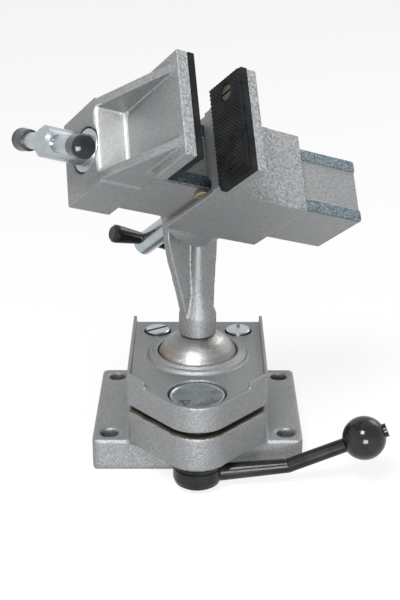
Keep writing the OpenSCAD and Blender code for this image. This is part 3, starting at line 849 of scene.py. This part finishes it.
@dataclass
class BallClampBase(Piece):
    """Base plate, clamp cap, ball and the zinc screws that hold them."""

    ball_y: float = -0.011
    bead_r: float = 0.0243
    bead_z: float = 0.0513
    bead_t: float = 0.0012
    split_z: float = 0.034
    shade_half: float = 0.0012
    shade_back: float = -0.030
    bolt_y: float = -0.056
    head_top: float = 0.0490
    head_r: float = 0.0136
    mark: tuple[float, float] = (-0.0056, -0.0068)
    mark_level: float = 0.00012
    mark_radii: tuple[float, float] = (0.0032, 0.62 * 0.0032)
    mark_turns: tuple[float, ...] = (35.0, 150.0, 262.0)
    mark_thick: float = 0.0001

    def build(self) -> None:
        """Dresses the base body and the ball."""
        base = cast("base_look", [frame["nodes"]["base_casting"]], ROW, voxel=0.0009, passes=4)
        self.finish(base, "base", Surface.CASTING, "base_casting")
        # Painted shade: the faces in the split under the cap take a dark film.
        dress_faces(base, self.palette.made[Surface.PAINTED_SHADE], ROW, self.is_in_split_shade)
        cap = cast("cap_look", [frame["nodes"]["clamp_cap"], self.bead()], ROW, voxel=0.0005, passes=3)
        self.finish(cap, "base", Surface.CASTING, "clamp_cap")
        self.palette.node("joint_ball", Surface.GROUND)
        for name in ("cap_screws", "clamp_bolt", "thrust_washer"):
            self.palette.node(name, Surface.ZINC)
        self.bolt_dish()
        self.bolt_mark()

    def is_in_split_shade(self, centre: Vector, normal: Vector) -> bool:
        """Says whether a face lies in the split under the cap, whose dark brownish film is painted shade,
        from its centre and normal.
        """
        in_split = abs(centre.z - self.split_z) < self.shade_half
        return centre.y < self.shade_back and in_split and normal.z > 0.6

    def bead(self) -> bpy.types.Object:
        """Makes the round bead along the collar's top, which is cast into the cap.

        Returns:
            The bead, a ring round the ball.
        """
        outline: list[tuple[float, float]] = []
        for turn in range(0, 360, 30):
            t = math.radians(turn)
            outline.append((self.bead_r + self.bead_t * math.cos(t), self.bead_z + self.bead_t * math.sin(t)))
        return revolve("bead", outline, ROW.moved(0.0, self.ball_y, 0.0), 96)

    def bolt_dish(self) -> None:
        """Lays a shallow dish with a thin rolled rim on the clamp bolt's round head."""
        r = self.head_r
        floor = [(0.0, 0.00006), (r - 0.0019, 0.00006), (r - 0.0014, 0.00022)]
        roll = [(r - 0.0008, 0.00055), (r - 0.0003, 0.0005), (r, 0.0001)]
        under = [(r + 0.0001, -0.0004), (0.0, -0.0006)]
        rim = revolve("bolt_rim", floor + roll + under, ROW.moved(0.0, self.bolt_y, self.head_top), 96)
        self.finish(rim, "base", Surface.ZINC)

    def bolt_mark(self) -> None:
        """Lays a small plain triangle as a thin dark band just above the dish, painted shade standing for the
        groove that a staking tool leaves.
        """
        corners: list[Point] = []
        for radius in self.mark_radii:
            for turn in self.mark_turns:
                t = math.radians(turn)
                x, y = self.mark[0] + radius * math.cos(t), self.mark[1] + radius * math.sin(t)
                corners.append((x, y, self.mark_level))
        faces = [[i, (i + 1) % 3, 3 + (i + 1) % 3, 3 + i] for i in range(3)]
        stamp = mesh_from("bolt_stamp", corners, faces, ROW.moved(0.0, self.bolt_y, self.head_top))
        thick = stamp.modifiers.new("depth", "SOLIDIFY")
        thick.thickness = self.mark_thick
        # Painted shade: the stamp's dark finish stands for the shade in the stamped groove.
        self.finish(stamp, "base", Surface.SCREW)


@dataclass
class ClampLever(Piece):
    """Black swing lever with its ball knob."""

    def build(self) -> None:
        """Dresses the lever body."""
        self.palette.node("clamp_lever", Surface.ENAMEL)
        self.palette.node("lever_knob", Surface.PLASTIC)


@dataclass
class PostColumn(Piece):
    """Winged post with its tilted round pad."""

    def build(self) -> None:
        """Dresses the post body."""
        post = cast("post_look", [frame["nodes"]["post"]], ROW, voxel=0.0006, passes=5)
        self.finish(post, "post", Surface.CASTING, "post")
        self.palette.node("pivot_washer", Surface.ZINC)


@dataclass
class JawPlate(Piece):
    """Blackened jaw plate, cross-cut into small pyramids, with two sunk screws."""

    width: float = 50.0 * MM
    height: float = 23.5 * MM
    thick: float = 4.2 * MM
    step: float = 0.25 * MM
    pitch: float = 1.5 * MM
    tooth: float = 0.55 * MM
    border: float = 1.7 * MM
    bevel: float = 0.9 * MM
    second_cut: float = 0.55
    vee: float = 2.4
    screw_at: float = 18.2 * MM
    screw_level: float = -11.75 * MM
    sink_r: float = 3.9 * MM
    sink: float = 2.6 * MM

    def depth(self, w: float, h: float) -> float:
        """Says how far the face lies behind the tips of the teeth.

        Args:
            w: Place across the jaw.
            h: Place up the jaw, 0 at its top.

        Returns:
            The depth in metres.
        """
        if math.hypot(abs(w) - self.screw_at, h - self.screw_level) < self.sink_r:
            return self.sink
        past_edge = max(h + self.border, 0.0) or max(self.border - self.width / 2.0 - w, 0.0)
        if past_edge > 0.0:
            return self.bevel * (0.75 + 0.5 * past_edge / self.border)
        cut = 0.0
        for along, share in (((w + h) / math.sqrt(2.0), 1.0), ((w - h) / math.sqrt(2.0), self.second_cut)):
            part = (along / self.pitch) % 1.0
            cut = max(cut, share * (1.0 - self.vee * min(part, 1.0 - part)))
        return self.tooth * max(0.0, cut)

    def plate(self, name: str, place: LocalFrame, side: float) -> bpy.types.Object:
        """Builds one plate as a closed solid with its teeth on the face at a = 0.

        Args:
            name: Name of the plate.
            place: Frame with x through the plate, y across the jaw and z up.
            side: 1 where the plate lies towards +x of its face, or -1.

        Returns:
            The plate.
        """
        wide = round(self.width / self.step)
        high = round(self.height / self.step)
        points: list[Point] = []
        for j in range(high + 1):
            for i in range(wide + 1):
                w, h = i * self.step - self.width / 2.0, -j * self.step
                points.append((side * self.depth(w, h), w, h))
        row = wide + 1
        faces: list[list[int]] = []
        for j in range(high):
            for i in range(wide):
                k = j * row + i
                faces.append([k, k + 1, k + row + 1, k + row])
        rim = [i for i in range(wide + 1)] + [j * row + wide for j in range(1, high + 1)]
        rim += [high * row + i for i in range(wide - 1, -1, -1)] + [j * row for j in range(high - 1, 0, -1)]
        start = len(points)
        points += [(side * self.thick, points[k][1], points[k][2]) for k in rim]
        for n, k in enumerate(rim):
            m = (n + 1) % len(rim)
            faces.append([k, rim[m], start + m, start + n])
        faces.append(list(range(start, start + len(rim))))
        obj = mesh_from(name, points, faces, place)
        shade_by_angle(obj, 20.0)
        return obj


@dataclass
class ViseHead(Piece):
    """Fixed body with the rear jaw, its plate, screws and pivot parts."""

    lip_r: float = 1.3 * MM
    lip: tuple[Point, ...] = ((0.0150, -0.0180, -0.0262), (0.0195, -0.0172, -0.0270),
                              (0.0235, -0.0164, -0.0292), (0.0292, -0.0158, -0.0315),
                              (0.0350, -0.0161, -0.0329), (0.0413, -0.0168, -0.0332),
                              (0.0545, -0.0180, -0.0332))
    plate_back: float = 0.0046
    skin_front: float = 0.0088
    skin_low: float = -0.0345
    top_level: float = -0.0008

    def build(self) -> None:
        """Dresses the head body and the clamp nut."""
        self.body()
        plate = JawPlate(self.palette).plate("rear_plate_look", HEAD, 1.0)
        self.finish(plate, "head", Surface.OXIDE, "rear_jaw_plate")
        self.palette.node("rear_plate_screws", Surface.SCREW)
        for name in ("pivot_stud", "nut_screw", "pivot_nut", "pivot_bar"):
            self.palette.node(name, Surface.ZINC)
        self.palette.node("spindle_nut", Surface.BRASS)
        self.palette.node("pivot_grips", Surface.PLASTIC)
        self.gib_end()

    def body(self) -> None:
        """Casts the body with its rounded lip and gives its upper faces their coarse skin."""
        lip = tube("lip", [Vector(p) for p in self.lip], self.lip_r, HEAD, steps=12)
        body = cast("body_look", [frame["nodes"]["vise_body"], lip], HEAD, voxel=0.0006, passes=3)
        self.finish(body, "head", Surface.CASTING, "vise_body")
        dress_faces(body, self.palette.made[Surface.COARSE], HEAD, self.is_coarse)

    def is_coarse(self, centre: Vector, normal: Vector) -> bool:
        """Says whether a face belongs to the coarse upper skin.

        Args:
            centre: The face's centre in the head's frame.
            normal: Its normal in that frame.

        Returns:
            True on the flange's back and top, and on the body's top.
        """
        faces_up = normal.x > 0.3 or normal.z > 0.3
        behind = centre.x > self.skin_front and centre.z > self.skin_low and faces_up
        on_top = centre.z > self.top_level and centre.x > self.plate_back
        return behind or on_top

    def gib_end(self) -> None:
        """Adds the brass wear strip's bright end and the edge that shows down the slit."""
        flat = LocalFrame(HEAD.origin, HEAD.x, HEAD.z, -1.0 * HEAD.y)
        bright = [(0.0018, -0.0452), (0.0050, -0.0452), (0.0053, -0.0420),
                  (0.0045, -0.0384), (0.0022, -0.0384), (0.0012, -0.0410)]
        end = prism("gib_end", bright, 0.0165, 0.0188, flat)
        round_edges(end, 0.0005, 2)
        self.finish(end, "head", Surface.BRASS, "brass_gib")
        strip = [(0.0050, -0.0755), (0.0054, -0.0755), (0.0054, -0.0445), (0.0050, -0.0445)]
        edge = prism("gib_edge", strip, 0.01645, 0.01700, flat)
        round_edges(edge, 0.0001, 1)
        self.finish(edge, "head", Surface.BRASS)


@dataclass
class MovingJaw(Piece):
    """Moving jaw with its slide bar, plate, screws, spindle and cross bar."""

    face_at: float = -22.6 * MM
    rail_top: float = -38.32 * MM
    rail_low: float = -40.0 * MM
    rail_in: float = 10.3 * MM
    rail_out: float = 16.3 * MM
    rail_start: float = -18.0 * MM
    rail_end: float = 96.6 * MM
    rail_corner: float = 1.5 * MM
    web_back: float = -32.7 * MM
    top_level: float = -0.8 * MM
    block_front: float = -48.2 * MM
    floor_level: float = -43.9 * MM
    edge_reach: float = 3.0 * MM
    bar_at: float = -64.2 * MM
    bar_turn: float = 29.0

    def build(self) -> None:
        """Dresses the jaw, spindle and cross-bar bodies."""
        jaw = cast("jaw_look", [frame["nodes"]["moving_jaw"]], HEAD, voxel=0.00047, passes=3,
                   soft=self.is_soft, soft_passes=40)
        self.finish(jaw, "jaw", Surface.CASTING, "moving_jaw")
        dress_faces(jaw, self.palette.made[Surface.COARSE], HEAD, self.is_coarse)
        # Painted light on the front block's top and its fillets between the ribs.
        dress_faces(jaw, self.palette.made[Surface.PAINTED_LIT], HEAD, self.is_painted_lit)
        facing = LocalFrame(HEAD.origin + self.face_at * HEAD.x, HEAD.x, HEAD.y, HEAD.z)
        plate = JawPlate(self.palette).plate("front_plate_look", facing, -1.0)
        self.finish(plate, "jaw", Surface.OXIDE, "front_jaw_plate")
        self.palette.node("front_plate_screws", Surface.SCREW)
        self.rails()
        for name in ("spindle", "spindle_ring", "spindle_bar"):
            self.palette.node(name, Surface.ZINC)
        washer = [(0.0072, 0.0006), (0.0098, 0.0006), (0.0102, 0.0010), (0.0102, 0.0030), (0.0072, 0.0030)]
        seat = HEAD.moved(self.block_front, 0.0, -SPINDLE_DEPTH).facing(HEAD.x)
        self.finish(revolve("spindle_face", washer, seat, 96), "screw", Surface.ZINC)
        self.grips()

    def is_coarse(self, centre: Vector, normal: Vector) -> bool:
        """Says whether a face belongs to the jaw's coarse top edge.

        Args:
            centre: The face's centre in the head's frame.
            normal: Its normal in that frame; not used.

        Returns:
            True on the top of the web plate.
        """
        return centre.z > self.top_level and centre.x > self.web_back + 0.0006

    def is_soft(self, point: Vector) -> bool:
        """Says whether a point lies by one of the two wide-radius edges between the ribs.

        Args:
            point: A place in the head's frame.

        Returns:
            True by the front block's outer edge and by the foot of the web, between the ribs.
        """
        by_edge = any(abs(point.x - edge) < self.edge_reach for edge in (self.block_front, self.web_back))
        return by_edge and abs(point.z - self.floor_level) < 0.0032 and abs(point.y) < 0.0156

    def is_painted_lit(self, centre: Vector, normal: Vector) -> bool:
        """Says whether a face belongs to the floor between the ribs, which takes a lighter copy of the
        casting finish as painted light.

        Args:
            centre: The face's centre in the head's frame.
            normal: Its normal in that frame.

        Returns:
            True on the front block's top and the fillets at both its ends.
        """
        floor = -0.0492 < centre.x < -0.0318 and -0.0462 < centre.z < -0.0405
        return floor and abs(centre.y) < 0.0163 and normal.z > 0.12

    def rails(self) -> None:
        """Lays the two plated rails along the top corners of the slide."""
        r = self.rail_corner
        outline = [(self.rail_start, self.rail_in), (self.rail_start, self.rail_out)]
        for middle, first in ((self.rail_out - r, 90), (self.rail_in + r, 0)):
            for turn in range(first, first - 91, -15):
                t = math.radians(turn)
                outline.append((self.rail_end - r + r * math.cos(t), middle + r * math.sin(t)))
        for side, name in ((-1.0, "rail_near"), (1.0, "rail_far")):
            place = LocalFrame(HEAD.origin, HEAD.x, side * HEAD.y, HEAD.z)
            rail = prism(name, outline, self.rail_low, self.rail_top, place)
            shade_by_angle(rail)
            round_edges(rail, 0.0003, 2)
            self.finish(rail, "jaw", Surface.RAIL)

    def grips(self) -> None:
        """Finishes the cross bar's end caps: a grey sleeve with a black domed end."""
        turn = math.radians(self.bar_turn)
        along = math.cos(turn) * HEAD.z - math.sin(turn) * HEAD.y
        middle = HEAD.moved(self.bar_at, 0.0, -SPINDLE_DEPTH)
        sleeve = [(0.00382, 0.0230), (0.0047, 0.0230), (0.0050, 0.0233),
                  (0.00532, 0.0298), (0.0050, 0.0302), (0.00382, 0.0302)]
        dome = [(0.0, 0.0299), (0.0050, 0.0299), (0.0054, 0.0304), (0.0053, 0.0316),
                (0.0047, 0.0326), (0.0030, 0.0334), (0.0013, 0.0339), (0.0, 0.0340)]
        for side, name in ((1.0, "upper"), (-1.0, "lower")):
            end = middle.facing(side * along)
            grip = revolve("grip_sleeve_" + name, sleeve, end, 48)
            self.finish(grip, "cross_bar", Surface.SLEEVE, "spindle_grips")
            self.finish(revolve("grip_cap_" + name, dome, end, 48), "cross_bar", Surface.PLASTIC)


def seen_directly(tree: bpy.types.NodeTree) -> bpy.types.Node:
    """Adds nodes that give 1 to camera, glossy and transmission rays and 0 to all others.

    Args:
        tree: Node tree of a material or of the world.

    Returns:
        The math node, whose output is called Value.
    """
    path = tree.nodes.new("ShaderNodeLightPath")
    found = path.outputs["Is Camera Ray"]
    for kind in ("Is Glossy Ray", "Is Transmission Ray"):
        either = tree.nodes.new("ShaderNodeMath")
        either.operation = "MAXIMUM"
        tree.links.new(found, either.inputs[0])
        tree.links.new(path.outputs[kind], either.inputs[1])
        found = either.outputs["Value"]
    return either


@dataclass
class Studio:
    """White ground, even light and the camera at the photograph's angle."""

    target: Vector = field(default_factory=lambda: Vector((0.00120, 0.0, 0.07644)))
    distance: float = 0.6645
    yaw: float = -0.14
    pitch: float = 22.21
    lens: float = 76.93
    lit_at: Vector = field(default_factory=lambda: Vector((0.0, -0.02, 0.1)))
    ground_half: float = 3.0
    ground_white: float = 0.86
    light_level: float = 0.22

    def build(self) -> None:
        """Makes the camera, the ground, the world and the lamps."""
        self.camera()
        self.ground()
        self.world()
        self.lamp("key", Vector((-0.22, -0.72, 1.05)), size=0.36, power=16.0)
        self.lamp("front", Vector((0.10, -1.35, 0.17)), size=0.50, power=20.0)
        self.lamp("rim", Vector((0.80, 0.75, 0.8)), size=0.6, power=4.0)
        bpy.context.scene.view_settings.view_transform = "Standard"

    def camera(self) -> None:
        """Places the camera."""
        yaw, pitch = math.radians(self.yaw), math.radians(self.pitch)
        ahead = Vector((math.sin(yaw) * math.cos(pitch), math.cos(yaw) * math.cos(pitch), -math.sin(pitch)))
        data = bpy.data.cameras.new("camera")
        data.lens = self.lens
        data.sensor_width = 36.0
        data.clip_start = 0.01
        obj = bpy.data.objects.new("camera", data)
        obj.location = self.target - ahead * self.distance
        obj.rotation_euler = ahead.to_track_quat("-Z", "Y").to_euler()
        bpy.context.scene.collection.objects.link(obj)
        bpy.context.scene.camera = obj

    def ground(self) -> None:
        """Makes a plain floor that shows white behind the object and keeps its shadow."""
        half = self.ground_half
        corners = [(-half, -half, 0.0), (half, -half, 0.0), (half, half, 0.0), (-half, half, 0.0)]
        floor = mesh_from("floor", corners, [(0, 1, 2, 3)], ROW)
        g = NodeGraph("white_ground")
        g.set(Roughness=0.9, Specular_IOR_Level=0.1, Base_Color=(0.92, 0.92, 0.92, 1.0))
        glow = g.add("ShaderNodeEmission")
        glow.inputs["Color"].default_value = (1.0, 1.0, 1.0, 1.0)
        share = g.add("ShaderNodeMath", operation="MULTIPLY")
        g.link(seen_directly(g.tree), "Value", share, 0)
        share.inputs[1].default_value = self.ground_white
        both = g.add("ShaderNodeMixShader")
        g.link(share, "Value", both, "Fac")
        g.tree.links.new(g.shader.outputs["BSDF"], both.inputs[1])
        g.tree.links.new(glow.outputs["Emission"], both.inputs[2])
        g.link(both, "Shader", g.output, "Surface")
        floor.data.materials.append(g.material)

    def world(self) -> None:
        """Sets a white surround for the camera and for reflections, and a plain level of light."""
        world = bpy.data.worlds.new("surround")
        bpy.context.scene.world = world
        world.use_nodes = True
        tree = world.node_tree
        tree.nodes.clear()
        out = tree.nodes.new("ShaderNodeOutputWorld")
        level = tree.nodes.new("ShaderNodeMapRange")
        level.inputs["To Min"].default_value = self.light_level
        level.inputs["To Max"].default_value = 1.0
        tree.links.new(seen_directly(tree).outputs["Value"], level.inputs["Value"])
        back = tree.nodes.new("ShaderNodeBackground")
        back.inputs["Color"].default_value = (1.0, 1.0, 1.0, 1.0)
        tree.links.new(level.outputs["Result"], back.inputs["Strength"])
        tree.links.new(back.outputs["Background"], out.inputs["Surface"])

    def lamp(self, name: str, place: Vector, size: float, power: float) -> None:
        """Adds a soft square lamp that points at the object.

        Args:
            name: The lamp's name.
            place: Where it hangs.
            size: Side of the lamp in metres.
            power: Its power in watts.
        """
        data = bpy.data.lights.new(name, "AREA")
        data.shape = "SQUARE"
        data.size = size
        data.energy = power
        obj = bpy.data.objects.new(name, data)
        obj.location = place
        obj.rotation_euler = (self.lit_at - place).to_track_quat("-Z", "Y").to_euler()
        bpy.context.scene.collection.objects.link(obj)


def main() -> None:
    """Builds the studio and each sub-assembly in order."""
    logging.basicConfig(level=logging.INFO, format="%(name)s: %(message)s")
    palette = Palette()
    Studio().build()
    for assembly in (BallClampBase, ClampLever, PostColumn, ViseHead, MovingJaw):
        LOG.info("building %s", assembly.__name__)
        assembly(palette).build()


if __name__ == "__main__":
    main()
